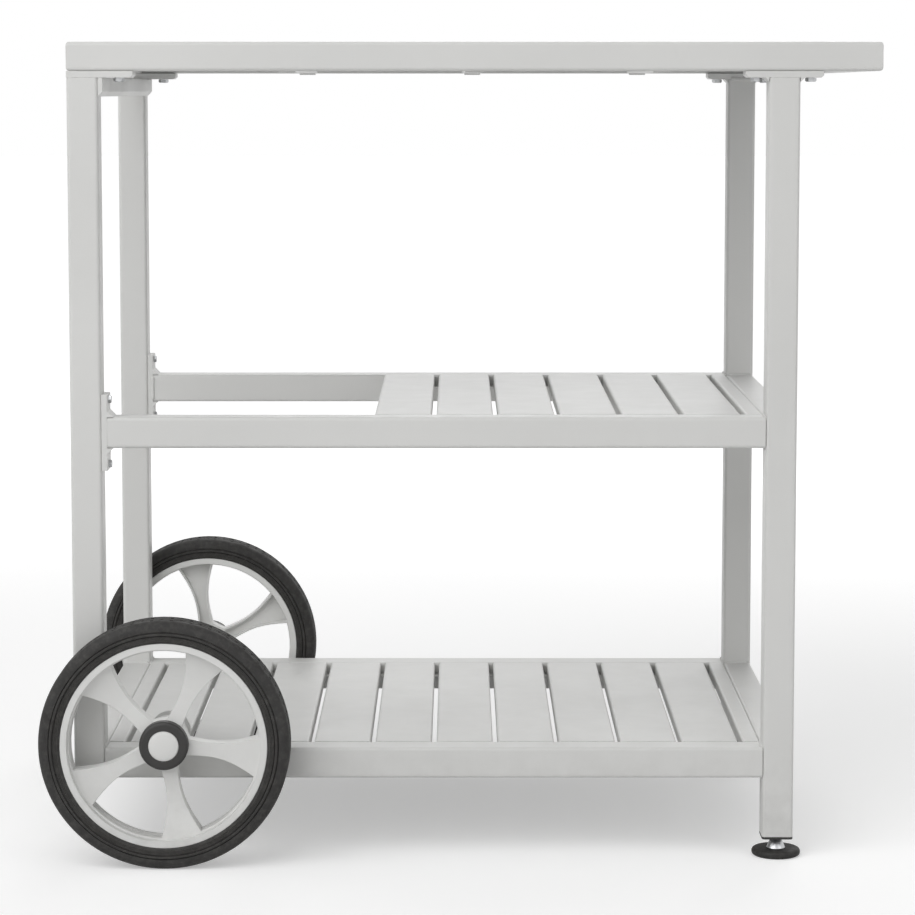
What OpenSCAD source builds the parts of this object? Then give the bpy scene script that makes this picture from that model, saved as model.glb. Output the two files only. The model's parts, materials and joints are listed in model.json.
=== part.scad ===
// Griddle cart for an outdoor kitchen: a square-tube frame with a flat steel top, two slatted
// shelves, spoked wheels on stub axles at the left end and levelling feet at the right end.
// The open part of the middle shelf lets a gas bottle stand on the lower shelf.
// Millimetres. The origin is on the floor under the middle of the cart, +X runs towards the
// feet, +Y to the back and +Z up.

/* [Frame] */
// Length of the top frame
top_len = 983; // [950:1:1060]
// Depth over the legs and the top frame
cart_depth = 600; // [520:1:680]
// Height of the top above the floor
cart_height = 1000; // [900:1:1080]
// Overhang of the top beyond the right legs
top_overhang = 99; // [80:1:140]
// Side of the square tube of the legs and shelf rails
leg_tube = 38; // [34:1:42]
// Wall of the leg and rail tube
leg_wall = 2; // [1.5:0.1:3]
// Outer corner radius of all square tube
tube_round = 4; // [3:0.5:5]
// Side of the square tube of the top frame
top_tube = 35; // [32:1:42]
// Wall of the top frame tube
top_wall = 2; // [1.5:0.1:3]
// Underside of the middle shelf rails above the floor
mid_rail_z = 508; // [440:1:600]

/* [Top deck] */
// Thickness of the deck plate
deck_t = 3; // [2:0.5:6]
// Reveal between the deck plate and the top frame
deck_gap = 1.5; // [0.5:0.1:3]
// Corner radius of the deck plate
deck_round = 3; // [1:0.5:8]
// Number of cross rails under the deck plate
cross_rail_count = 3; // [2:1:5]
// Width of a cross rail
cross_rail_w = 30; // [20:1:40]
// Leg length of the angle ledges
ledge_leg = 20; // [16:1:22]
// Thickness of the angle ledges
ledge_t = 3; // [2:0.5:4]
// Weld gap between a ledge segment and what it runs up to
ledge_gap = 0.3; // [0.1:0.1:0.5]

/* [Leg tops] */
// Thickness of the flange plate on a leg's top
flange_t = 8; // [5:0.5:10]
// Reach of a right leg's flange beyond the leg, each way
flange_reach = 28; // [24:1:34]
// Reach of a left leg's flange beyond the leg, towards the middle
left_flange_reach = 42; // [36:1:48]
// Chamfer on a flange's lower corners
flange_chamfer = 3; // [1:0.5:4]
// Thickness of the flat bar that ties the left legs together under the top
tie_bar_t = 6; // [4:0.5:8]
// Height of that bar
tie_bar_h = 23; // [18:1:30]
// Shank diameter of a flange bolt
flange_bolt_d = 8; // [6:0.5:9]
// Leg of the weld between a right leg and its flange
leg_weld = 5; // [3:0.5:6]

/* [Middle shelf] */
// Height of the end plate that bolts a middle rail to a left leg
end_plate_h = 93; // [86:1:104]
// Thickness of that end plate
end_plate_t = 7; // [5:0.5:9]
// Leg of the weld between a rail and its end plate
plate_weld = 7; // [4:0.5:9]
// Shank diameter of an end plate bolt
plate_bolt_d = 6; // [5:0.5:7]
// Distance of an end plate bolt from the plate's end
plate_bolt_edge = 7; // [6:0.5:10]
// Least clear length of the gas bottle opening
bottle_gap = 318; // [250:1:340]

/* [Slats] */
// Width of a slat
slat_w = 70; // [60:1:80]
// Gap between two slats
slat_gap = 6; // [4:0.5:9]
// Height of a slat's folded section
slat_h = 15; // [12:0.5:20]
// Sheet thickness of a slat
slat_t = 2; // [1.5:0.1:3]
// Bend radius on the outside of a slat's folds
slat_round = 3; // [2.5:0.5:4]
// Gap between a slat's end and the rail
slat_end_gap = 0.3; // [0.1:0.1:1]
// Least width of the filler bar between the last slat and an end rail
end_bar_min = 14; // [10:1:16]

/* [Wheels] */
// Outer diameter of a tyre
wheel_d = 305; // [300:1:320]
// Width of a tyre
wheel_w = 50; // [46:1:56]
// Axle position from the left end of the cart
wheel_x = 115.5; // [105:0.5:130]
// Gap between a wheel and the side of the cart
wheel_gap = 12; // [10:0.5:20]
// Height of the tyre over the edges of the rim
tyre_h = 27; // [22:0.5:32]
// Depth of the tyre's seat below the edges of the rim
seat_drop = 4.5; // [3:0.5:6]
// Setback of the rim's edges from the sides of the tyre
rim_inset = 3; // [2:0.5:5]
// Width of a rim edge
rim_lip = 4; // [3:0.5:6]
// Wall of the rim's barrel under that seat
barrel_wall = 3.5; // [2.5:0.5:5]
// Distance of the windows from the barrel's inner face
window_margin = 2.2; // [1.5:0.1:5]
// Number of windows and spokes
window_count = 5; // [4:1:5]
// Angle that a window's outer edge spans
window_span = 47.6; // [40:0.1:50]
// Distance of a window's inner end from the hub cover
window_clear = 0.8; // [0.5:0.1:4]
// Angle that a window's inner end spans
window_inner_span = 34; // [20:1:36]
// Outward bulge of a window's sides
window_bulge = 7; // [3:0.5:9]
// Thickness of the wheel's web
web_t = 11; // [8:0.5:13]
// Depth of the dish in the web
web_dish = 5; // [0:0.5:6]
// Rise of the web from the hub's face to the rim
web_rise = 3.9; // [2:0.1:6]
// Thickness of the skirt behind each window
skirt_t = 2.5; // [2:0.5:3]
// Depth of that skirt behind the web
skirt_h = 9; // [5:0.5:12]
// Outer radius of the hub's barrel
hub_r = 24; // [22:0.5:26]
// Outer radius of the hub cover ring
cover_r = 29.8; // [28:0.1:31]
// Setback of the hub cover's face from the side of the tyre
cover_setback = 2; // [1:0.5:4]
// Radius of the hub cap
cap_r = 18.6; // [18:0.1:19.5]
// Wall of the hub cap
cap_wall = 1.5; // [1:0.1:2]
// Angle of the front wheel's first window axis
front_wheel_turn = 28.2; // [0:0.1:72]
// Angle of the rear wheel's first window axis
rear_wheel_turn = 63.5; // [0:0.1:72]

/* [Tyre tread] */
// Radius of a tyre's shoulders
shoulder_r = 10; // [6:0.5:11]
// Distance of the raised ring on the tyre's side from the rim's edge
side_ring_rise = 11.4; // [9:0.1:13]
// Height of that ring
side_ring_h = 1.2; // [0.6:0.1:2]
// Depth of the tread grooves
groove_h = 2.5; // [1:0.1:4]
// Width of the tread grooves
groove_w = 3; // [2:0.1:4]
// Width of the rib between the shoulder and the first groove
rib_w = 2; // [1:0.1:4]

/* [Axles] */
// Axle diameter
axle_d = 16; // [12:0.5:16.5]
// Height of the axle above the lower shelf rails
axle_rise = 14.5; // [13:0.5:20]
// Thickness of the axle bracket's plates
bracket_t = 6; // [4:0.5:8]
// Radius of the axle bracket's rounded ears
bracket_r = 25; // [22:0.5:28]
// Outer radius of a hub bush
bush_r = 12; // [10.5:0.5:13]
// Thickness of a bush's flange
bush_flange_t = 2; // [1.5:0.1:2.5]
// Width of a bush's flange around the bush
bush_flange_w = 2; // [1:0.1:3]
// Wall of the spacer between a bracket and its wheel
spacer_wall = 5; // [3:0.5:5.5]
// Width of an axle washer's ring
washer_w = 6; // [4:0.5:7]
// Thickness of an axle washer
washer_t = 2; // [1.5:0.1:2.5]
// Height of an axle nut
axle_nut_h = 8; // [7:0.5:8.5]

/* [Levelling feet] */
// Height of a right leg's lower end above the floor
foot_h = 23; // [20:0.5:40]
// Diameter of a foot's pad
pad_d = 60; // [50:1:70]
// Height of the pad's disc
pad_h = 9; // [7:0.5:12]
// Height of the stem's conical collar above the floor
neck_h = 20; // [15:0.5:20]
// Diameter at the foot of the collar
neck_base_d = 23; // [20:0.5:30]
// Diameter at the top of the collar
neck_top_d = 15; // [13:0.5:18]
// Thread diameter of the foot's stem
stem_d = 12; // [8:0.5:12]
// Length of the stem above the collar
stem_len = 43; // [40:1:60]
// Length of the part of an end plug inside its leg
plug_len = 30; // [22:1:34]
// Thickness of an end plug's flange
plug_flange_t = 3; // [2:0.5:5]

/* [Hidden] */

$fn = 96;

// Clearances
fit = 0.05;
side_play = 0.2;
plug_fit = 0.1;
bolt_fit = 0.3;
tyre_fit = 0.1;
cap_room = 0.8;
cap_setback = 0.3;
cover_margin = 0.2;

// Proportions of standard hexagon bolts, nuts and blind rivet nuts, by thread diameter
function hex_r(d) = 0.87 * d;
function head_h(d) = 0.62 * d;
function rivet_body_d(d) = 1.35 * d;
function rivet_flange_d(d) = 1.7 * d;
function rivet_flange_h(d) = 0.3 * d;
function rivet_len(d) = 1.8 * d;

// Colours
paint_colour = [0.93, 0.93, 0.91];
steel_colour = [0.76, 0.77, 0.78];
black_colour = [0.10, 0.10, 0.10];
tyre_colour = [0.15, 0.15, 0.15];
bush_colour = [0.85, 0.83, 0.76];

// The cart's middle, counted from the left legs' outer faces
front_y = -cart_depth / 2;
cart_left_x = min(0, wheel_x - wheel_d / 2);
mid_x = (cart_left_x + top_len) / 2;
leg_span = top_len - top_overhang;

// Legs and rails
axle_z = wheel_d / 2;
half_tube = leg_tube / 2;
rail_y = -front_y - half_tube;
inner_y = -front_y - leg_tube;
right_leg_x = leg_span - leg_tube;
top_z = cart_height - top_tube;
leg_top_z = top_z - flange_t;
lower_top_z = axle_z - axle_rise;
lower_rail_z = lower_top_z - leg_tube;
mid_top_z = mid_rail_z + leg_tube;

// Top frame
top_inner_y = -front_y - top_tube;
top_bay_len = top_len - 2 * top_tube;
cross_pitch = top_bay_len / (cross_rail_count + 1);
cross_rail_h = top_tube - deck_t;

// Slats, counted from the left end of the lower bay
bay_len = right_leg_x - leg_tube;
slat_pitch = slat_w + slat_gap;
slat_count = floor((bay_len - slat_gap - 2 * end_bar_min) / slat_pitch);
end_bar_w = (bay_len - slat_count * slat_pitch - slat_gap) / 2;
first_slat_x = leg_tube + end_bar_w + slat_gap;
bottle_end_x = leg_tube + end_plate_t + bottle_gap;
first_mid_slat = max(1, ceil((bottle_end_x - first_slat_x) / slat_pitch));
slat_len = 2 * (inner_y - slat_end_gap);
ledge_drop = slat_h;

// Bolts in the leg flanges and the end plates
flange_bolt_reach = half_tube + flange_reach / 2;
left_bolt_x = leg_tube + tie_bar_t + (left_flange_reach - tie_bar_t) / 2;
flange_bolt_xs = [left_bolt_x, right_leg_x + half_tube - flange_bolt_reach,
                  right_leg_x + half_tube + flange_bolt_reach];
plate_mid_z = mid_rail_z + half_tube;
plate_bolt_rise = end_plate_h / 2 - plate_bolt_edge;
plate_bolt_zs = [plate_mid_z - plate_bolt_rise, plate_mid_z + plate_bolt_rise];

// Wheel radii
rim_r = wheel_d / 2 - tyre_h;
rim_seat_r = rim_r - seat_drop;
barrel_r = rim_seat_r - barrel_wall;
window_r = barrel_r - window_margin;
window_inner_r = cover_r + window_clear;
dish_r = cover_r + cover_margin;

// Wheel stations, counted outwards from the side of the cart
axle_r = axle_d / 2;
axle_tip = 1.2;
wheel_out = wheel_gap + wheel_w;
cap_top = wheel_out - cap_setback;
axle_end = cap_top - cap_wall - cap_room;
nut_s = axle_end - axle_tip - axle_nut_h;
washer_s = nut_s - washer_t;
hub_out = washer_s - side_play - bush_flange_t;
hub_in = wheel_gap + side_play + bush_flange_t;
rim_in = wheel_gap + rim_inset;
rim_out = wheel_out - rim_inset;
wheel_mid = wheel_gap + wheel_w / 2;

// Two-dimensional outlines
function arc_points(c, r, a0, a1, n) =
    [for (i = [0:n]) let (a = a0 + (a1 - a0) * i / n) c + r * [cos(a), sin(a)]];

function rounded_points(w, h, r, n = 4) = concat(
    arc_points([w / 2 - r, h / 2 - r], r, 0, 90, n),
    arc_points([r - w / 2, h / 2 - r], r, 90, 180, n),
    arc_points([r - w / 2, r - h / 2], r, 180, 270, n),
    arc_points([w / 2 - r, r - h / 2], r, 270, 360, n));

module tube_outline(w, h, wall) {
    difference() {
        polygon(rounded_points(w, h, tube_round));
        polygon(rounded_points(w - 2 * wall, h - 2 * wall, max(tube_round - wall, 0.5)));
    }
}

// Straight lengths of tube along the three axes
module tube_along_x(x0, x1, y, z, w, h, wall) {
    translate([x0, y, z]) rotate([90, 0, 90]) linear_extrude(x1 - x0) tube_outline(w, h, wall);
}

module tube_along_y(x, y0, y1, z, w, h, wall) {
    translate([x, y1, z]) rotate([90, 0, 0]) linear_extrude(y1 - y0) tube_outline(w, h, wall);
}

module tube_along_z(x, y, z0, z1, w, wall) {
    translate([x, y, z0]) linear_extrude(z1 - z0) tube_outline(w, w, wall);
}

// Pieces are drawn from the left legs' outer faces and moved so that the origin is the middle
module cart() {
    translate([-mid_x, 0, 0]) children();
}

// The front piece and its mirror image at the back
module both_sides() {
    children();
    mirror([0, 1, 0]) children();
}

module at_side(side) {
    if (side == "rear") mirror([0, 1, 0]) children();
    else children();
}

// A closed outline in the X-Z plane, extruded towards +Y
module plate_xz(points, y0, y1) {
    translate([0, y1, 0]) rotate([90, 0, 0]) linear_extrude(y1 - y0) polygon(points);
}

// Top frame
module front_mitre() {
    translate([0, 0, top_z - 1]) linear_extrude(top_tube + 2) polygon([
        [0, front_y], [top_len, front_y],
        [top_len - top_tube, -top_inner_y], [top_tube, -top_inner_y]]);
}

module left_mitre() {
    translate([0, 0, top_z - 1]) linear_extrude(top_tube + 2) polygon([
        [0, front_y], [top_tube, -top_inner_y], [top_tube, top_inner_y], [0, -front_y]]);
}

module front_top_rail() {
    difference() {
        intersection() {
            tube_along_x(0, top_len, front_y + top_tube / 2, cart_height - top_tube / 2,
                         top_tube, top_tube, top_wall);
            front_mitre();
        }
        for (x = flange_bolt_xs)
            translate([x, -rail_y, top_z - 1])
                cylinder(d = rivet_body_d(flange_bolt_d) + 2 * fit, h = top_wall + 2);
    }
}

module left_top_rail() {
    intersection() {
        tube_along_y(top_tube / 2, front_y, -front_y, cart_height - top_tube / 2,
                     top_tube, top_tube, top_wall);
        left_mitre();
    }
}

module top_front_rail() color(paint_colour) cart() front_top_rail();
module top_rear_rail() color(paint_colour) cart() mirror([0, 1, 0]) front_top_rail();
module top_left_rail() color(paint_colour) cart() left_top_rail();
module top_right_rail() {
    color(paint_colour) cart() translate([top_len, 0, 0]) mirror([1, 0, 0]) left_top_rail();
}

module top_cross_rails() {
    color(paint_colour) cart()
        for (i = [1:cross_rail_count])
            tube_along_y(top_tube + i * cross_pitch, -top_inner_y, top_inner_y,
                         top_z + cross_rail_h / 2, cross_rail_w, cross_rail_h, top_wall);
}

module deck_plate() {
    color(steel_colour) cart()
        translate([top_len / 2, 0, cart_height - deck_t])
            linear_extrude(deck_t)
                polygon(rounded_points(top_bay_len - 2 * deck_gap,
                                       2 * (top_inner_y - deck_gap), deck_round));
}

// Angle section with its level leg on top, its upright leg against the rail at y
module front_ledge(x0, x1, y, z) {
    translate([x0, y, z]) rotate([90, 0, 90]) linear_extrude(x1 - x0)
        polygon([[0, 0], [ledge_leg, 0], [ledge_leg, -ledge_t],
                 [ledge_t, -ledge_t], [ledge_t, -ledge_leg], [0, -ledge_leg]]);
}

module deck_ledges() {
    half_w = cross_rail_w / 2;
    color(paint_colour) cart() both_sides()
        for (i = [0:cross_rail_count])
            front_ledge(top_tube + i * cross_pitch + (i == 0 ? 0 : half_w) + ledge_gap,
                        top_tube + (i + 1) * cross_pitch
                            - (i == cross_rail_count ? 0 : half_w) - ledge_gap,
                        -top_inner_y, cart_height - deck_t);
}

// Legs
module plate_bolt_holes() {
    for (z = plate_bolt_zs)
        translate([leg_tube - leg_wall - 1, -rail_y, z]) rotate([0, 90, 0])
            cylinder(d = rivet_body_d(plate_bolt_d) + 2 * fit, h = leg_wall + 2);
}

module left_leg() {
    difference() {
        tube_along_z(half_tube, -rail_y, lower_rail_z + plug_flange_t, leg_top_z,
                     leg_tube, leg_wall);
        plate_bolt_holes();
    }
}

module right_leg() {
    tube_along_z(right_leg_x + half_tube, -rail_y, foot_h + plug_flange_t, leg_top_z,
                 leg_tube, leg_wall);
}

module front_left_leg() color(paint_colour) cart() left_leg();
module rear_left_leg() color(paint_colour) cart() mirror([0, 1, 0]) left_leg();
module front_right_leg() color(paint_colour) cart() right_leg();
module rear_right_leg() color(paint_colour) cart() mirror([0, 1, 0]) right_leg();

// Flange plate from x0 to x1, with chamfered lower corners and with the weld triangles given
module flange(x0, x1, left_chamfer, welds, bolt_xs) {
    difference() {
        plate_xz(concat(
            [[x0, top_z], [x0, leg_top_z + left_chamfer], [x0 + left_chamfer, leg_top_z]],
            welds,
            [[x1 - flange_chamfer, leg_top_z], [x1, leg_top_z + flange_chamfer], [x1, top_z]]),
                 front_y, -inner_y);
        for (x = bolt_xs)
            translate([x, -rail_y, leg_top_z - 1])
                cylinder(d = flange_bolt_d + 2 * bolt_fit, h = flange_t + 2);
    }
}

module leg_flanges() {
    flush_chamfer = 0.5;
    weld_z = leg_top_z - leg_weld;
    color(paint_colour) cart() both_sides() {
        flange(0, leg_tube + left_flange_reach, flush_chamfer, [], [left_bolt_x]);
        flange(right_leg_x - flange_reach, leg_span + flange_reach, flange_chamfer,
               [[right_leg_x - leg_weld, leg_top_z], [right_leg_x, weld_z],
                [right_leg_x, leg_top_z], [leg_span, leg_top_z],
                [leg_span, weld_z], [leg_span + leg_weld, leg_top_z]],
               [flange_bolt_xs[1], flange_bolt_xs[2]]);
    }
}

module left_tie_bar() {
    color(paint_colour) cart()
        plate_xz([[leg_tube, leg_top_z], [leg_tube + tie_bar_t, leg_top_z],
                  [leg_tube + tie_bar_t, leg_top_z - tie_bar_h + tie_bar_t],
                  [leg_tube, leg_top_z - tie_bar_h]],
                 front_y, -front_y);
}

// Hexagon-head bolt pointing up, the head's bearing face at the origin
module hex_bolt(d, len) {
    translate([0, 0, -head_h(d)]) cylinder(r = hex_r(d), h = head_h(d), $fn = 6);
    cylinder(d = d, h = len);
}

// Blind rivet nut with its flange's seat at the origin and its body towards +Z
module rivet_nut(d, grip) {
    difference() {
        union() {
            cylinder(d = rivet_body_d(d), h = rivet_len(d));
            translate([0, 0, grip]) cylinder(d = rivet_flange_d(d), h = rivet_flange_h(d));
        }
        translate([0, 0, -1]) cylinder(d = d + 2 * fit, h = rivet_len(d) + 2);
    }
}

module flange_bolts() {
    color(steel_colour) cart() both_sides()
        for (x = flange_bolt_xs)
            translate([x, -rail_y, leg_top_z])
                hex_bolt(flange_bolt_d, flange_t + 2 * flange_bolt_d);
}

module flange_rivet_nuts() {
    color(steel_colour) cart() both_sides()
        for (x = flange_bolt_xs)
            translate([x, -rail_y, top_z]) rivet_nut(flange_bolt_d, top_wall);
}

// Middle shelf
module front_mid_rail() {
    tube_along_x(leg_tube + end_plate_t, right_leg_x, -rail_y, plate_mid_z,
                 leg_tube, leg_tube, leg_wall);
}

module mid_front_rail() color(paint_colour) cart() front_mid_rail();
module mid_rear_rail() color(paint_colour) cart() mirror([0, 1, 0]) front_mid_rail();

module end_rail(x, z) {
    tube_along_y(x + half_tube, -inner_y, inner_y, z + half_tube, leg_tube, leg_tube, leg_wall);
}

module mid_right_rail() color(paint_colour) cart() end_rail(right_leg_x, mid_rail_z);

module mid_end_plates() {
    x0 = leg_tube;
    x1 = leg_tube + end_plate_t;
    x2 = x1 + plate_weld;
    top = plate_mid_z + end_plate_h / 2;
    bottom = plate_mid_z - end_plate_h / 2;
    color(paint_colour) cart() both_sides() difference() {
        plate_xz([[x0, bottom], [x1, bottom],
                  [x1, mid_rail_z - plate_weld], [x2, mid_rail_z], [x1, mid_rail_z],
                  [x1, mid_top_z], [x2, mid_top_z], [x1, mid_top_z + plate_weld],
                  [x1, top], [x0, top]],
                 front_y, -inner_y);
        for (z = plate_bolt_zs)
            translate([x0 - 1, -rail_y, z]) rotate([0, 90, 0])
                cylinder(d = plate_bolt_d + 2 * bolt_fit, h = end_plate_t + 2);
    }
}

module end_plate_bolts() {
    color(steel_colour) cart() both_sides()
        for (z = plate_bolt_zs)
            translate([leg_tube + end_plate_t, -rail_y, z]) rotate([0, -90, 0])
                hex_bolt(plate_bolt_d, end_plate_t + 2 * plate_bolt_d);
}

module end_plate_rivet_nuts() {
    color(steel_colour) cart() both_sides()
        for (z = plate_bolt_zs)
            translate([leg_tube, -rail_y, z]) rotate([0, -90, 0])
                rivet_nut(plate_bolt_d, leg_wall);
}

// Slats: folded channels that run in depth with their top at z
module slat(x, z, w) {
    section = concat(
        [[0, -slat_h]],
        arc_points([slat_round, -slat_round], slat_round, 180, 90, 3),
        arc_points([w - slat_round, -slat_round], slat_round, 90, 0, 3),
        [[w, -slat_h], [w - slat_t, -slat_h], [w - slat_t, -slat_t],
         [slat_t, -slat_t], [slat_t, -slat_h]]);
    translate([x, slat_len / 2, z]) rotate([90, 0, 0]) linear_extrude(slat_len) polygon(section);
}

module mid_slats() {
    color(paint_colour) cart()
        for (i = [first_mid_slat:slat_count - 1])
            slat(first_slat_x + i * slat_pitch, mid_top_z, slat_w);
}

module lower_slats() {
    color(paint_colour) cart()
        for (i = [0:slat_count - 1])
            slat(first_slat_x + i * slat_pitch, lower_top_z, slat_w);
}

module mid_end_bar() {
    color(paint_colour) cart() slat(right_leg_x - end_bar_w, mid_top_z, end_bar_w);
}

module lower_end_bars() {
    color(paint_colour) cart() {
        slat(leg_tube, lower_top_z, end_bar_w);
        slat(right_leg_x - end_bar_w, lower_top_z, end_bar_w);
    }
}

module mid_ledges() {
    color(paint_colour) cart() both_sides()
        front_ledge(first_slat_x + first_mid_slat * slat_pitch, right_leg_x - ledge_gap,
                    -inner_y, mid_top_z - ledge_drop);
}

module lower_ledges() {
    color(paint_colour) cart() both_sides()
        front_ledge(leg_tube + ledge_gap, right_leg_x - ledge_gap,
                    -inner_y, lower_top_z - ledge_drop);
}

// Lower shelf frame
module front_lower_rail() {
    tube_along_x(leg_tube, right_leg_x, -rail_y, lower_rail_z + half_tube,
                 leg_tube, leg_tube, leg_wall);
}

module lower_front_rail() color(paint_colour) cart() front_lower_rail();
module lower_rear_rail() color(paint_colour) cart() mirror([0, 1, 0]) front_lower_rail();
module lower_left_rail() color(paint_colour) cart() end_rail(0, lower_rail_z);
module lower_right_rail() color(paint_colour) cart() end_rail(right_leg_x, lower_rail_z);

// Plug for a leg's lower end: a flange under the tube and a block inside it
module leg_plug(bore_d) {
    inside = leg_tube - 2 * leg_wall - 2 * plug_fit;
    difference() {
        union() {
            linear_extrude(plug_flange_t) polygon(rounded_points(leg_tube, leg_tube, tube_round));
            translate([0, 0, plug_flange_t]) linear_extrude(plug_len)
                polygon(rounded_points(inside, inside, max(tube_round - leg_wall, 0.5)));
        }
        if (bore_d > 0)
            translate([0, 0, -1]) cylinder(d = bore_d, h = plug_flange_t + plug_len + 2);
    }
}

module left_leg_plugs() {
    color(black_colour) cart() both_sides()
        translate([half_tube, -rail_y, lower_rail_z]) leg_plug(0);
}

module right_leg_inserts() {
    color(black_colour) cart() both_sides()
        translate([right_leg_x + half_tube, -rail_y, foot_h]) leg_plug(stem_d + 2 * fit);
}

// Levelling foot, drawn at its leg's axis: a pad with a socket, and a stem with a conical collar
module foot_pad() {
    edge_r = 0.45 * pad_h;
    rotate_extrude() difference() {
        polygon(concat(
            [[0, 0]],
            arc_points([pad_d / 2 - edge_r, edge_r], edge_r, 270, 360, 5),
            arc_points([pad_d / 2 - edge_r, pad_h - edge_r], edge_r, 0, 90, 5),
            [[0, pad_h]]));
        translate([-1, pad_h / 2]) square([stem_d / 2 + fit + 1, pad_h]);
    }
}

module foot_stem() {
    tip = 1.5;
    rotate_extrude() polygon([
        [0, pad_h / 2], [stem_d / 2, pad_h / 2], [stem_d / 2, pad_h],
        [neck_base_d / 2, pad_h], [neck_top_d / 2, neck_h], [stem_d / 2, neck_h],
        [stem_d / 2, neck_h + stem_len - tip],
        [stem_d / 2 - tip, neck_h + stem_len], [0, neck_h + stem_len]]);
}

module on_foot(side) {
    cart() at_side(side) translate([right_leg_x + half_tube, -rail_y, 0]) children();
}

module front_foot_pad() color(black_colour) on_foot("front") foot_pad();
module front_foot_stem() color(steel_colour) on_foot("front") foot_stem();
module rear_foot_pad() color(black_colour) on_foot("rear") foot_pad();
module rear_foot_stem() color(steel_colour) on_foot("rear") foot_stem();

// Wheel pieces are drawn with the axle along +Z, outwards from the side of the cart
module on_axle(side, turn = 0) {
    cart() at_side(side)
        translate([wheel_x, front_y, axle_z]) rotate([90, 0, 0]) rotate([0, 0, turn]) children();
}

module on_both_axles() {
    on_axle("front") children();
    on_axle("rear") children();
}

module ring(r0, r1, s0, s1) {
    translate([0, 0, s0]) difference() {
        cylinder(r = r1, h = s1 - s0);
        translate([0, 0, -1]) cylinder(r = r0, h = s1 - s0 + 2);
    }
}

// Front face of the dished web at share t of the way from the hub to the rim
function web_s(t) = hub_out + web_rise * t - web_dish * sin(180 * t);
function web_point(t, drop) = [dish_r + (barrel_r - dish_r) * t, web_s(t) - drop];

module rim_body() {
    steps = 6;
    rotate_extrude() polygon(concat(
        [[bush_r, hub_in], [hub_r, hub_in], [hub_r, hub_out - web_t]],
        [for (i = [0:steps]) web_point(i / steps, web_t)],
        [[barrel_r, rim_in], [rim_r, rim_in], [rim_r, rim_in + rim_lip],
         [rim_seat_r, rim_in + rim_lip], [rim_seat_r, rim_out - rim_lip],
         [rim_r, rim_out - rim_lip], [rim_r, rim_out], [barrel_r, rim_out]],
        [for (i = [steps:-1:0]) web_point(i / steps, 0)],
        [[bush_r, hub_out]]));
}

// One side of a window, from its inner end to its outer corner, moved outwards by grow
function unit(v) = v / norm(v);
function window_side(grow, n) =
    let (inner = window_inner_r * [cos(window_inner_span / 2), sin(window_inner_span / 2)],
         outer = window_r * [cos(window_span / 2), sin(window_span / 2)],
         along = unit(outer - inner),
         out = [-along[1], along[0]])
    [for (i = [0:n]) let (t = i / n)
        inner + (outer - inner) * t + along * grow * (2 * t - 1)
            + out * (window_bulge * sin(180 * t) + grow)];

function flipped(points) = [for (i = [len(points) - 1:-1:0]) [points[i][0], -points[i][1]]];

function window_points(grow) =
    let (n = 8,
         side = window_side(grow, n),
         corner = side[n],
         corner_a = atan2(corner[1], corner[0]),
         top = arc_points([0, 0], norm(corner), corner_a, -corner_a, n))
    concat(side, [for (i = [1:n - 1]) top[i]], flipped(side));

module rim_windows(grow, s0, s1) {
    for (k = [0:window_count - 1])
        rotate([0, 0, k * 360 / window_count]) translate([0, 0, s0])
            linear_extrude(s1 - s0) polygon(window_points(grow));
}

// Wheel rim: dished web with windows, a skirt behind each window, hub barrel and tyre seat
module rim() {
    skirt_in = hub_out - web_t - skirt_h;
    difference() {
        union() {
            rim_body();
            rim_windows(skirt_t, skirt_in, hub_out - web_t);
        }
        rim_windows(0, skirt_in - 1, rim_out + 1);
    }
}

// Half of the tyre's outline, from the bead to the middle of the tread, as radius and height
function tyre_half() =
    let (side_h = wheel_w / 2 - side_ring_h,
         ring_w = side_ring_h,
         side_ring_r = rim_r + side_ring_rise,
         bead_w = 4,
         bead_step = 0.5,
         r = wheel_d / 2,
         groove_s = side_h - shoulder_r - rib_w - groove_w)
    concat(
        [[rim_seat_r + tyre_fit, wheel_w / 2 - rim_inset - rim_lip - tyre_fit],
         [rim_r + tyre_fit, wheel_w / 2 - rim_inset - rim_lip - tyre_fit],
         [rim_r + tyre_fit, wheel_w / 2 - rim_inset],
         [rim_r + bead_w, side_h - bead_step],
         [side_ring_r - 1.5 * ring_w, side_h], [side_ring_r - 0.5 * ring_w, wheel_w / 2],
         [side_ring_r + 0.5 * ring_w, wheel_w / 2], [side_ring_r + 1.5 * ring_w, side_h]],
        arc_points([r - shoulder_r, side_h - shoulder_r], shoulder_r, 90, 0, 6),
        [[r, groove_s + groove_w], [r - groove_h, groove_s + 0.8 * groove_w],
         [r - groove_h, groove_s + 0.2 * groove_w], [r, groove_s],
         [r, groove_w / 2], [r - groove_h, 0.3 * groove_w]]);

module tyre() {
    half = tyre_half();
    rotate_extrude() translate([0, wheel_mid])
        polygon(concat(half, [for (i = [len(half) - 1:-1:0]) [half[i][0], -half[i][1]]]));
}

module hub_bushes() {
    middle = (hub_in + hub_out) / 2;
    ring(axle_r + fit, bush_r - fit, hub_in, middle - side_play);
    ring(axle_r + fit, bush_r + bush_flange_w, hub_in - bush_flange_t, hub_in);
    ring(axle_r + fit, bush_r - fit, middle + side_play, hub_out);
    ring(axle_r + fit, bush_r + bush_flange_w, hub_out, hub_out + bush_flange_t);
}

module hub_cover() {
    round_r = 4;
    front = wheel_out - cover_setback;
    rotate_extrude() polygon(concat(
        [[cap_r + fit, hub_out], [cover_r, hub_out]],
        arc_points([cover_r - round_r, front - round_r], round_r, 0, 90, 5),
        [[cap_r + fit, front]]));
}

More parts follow.
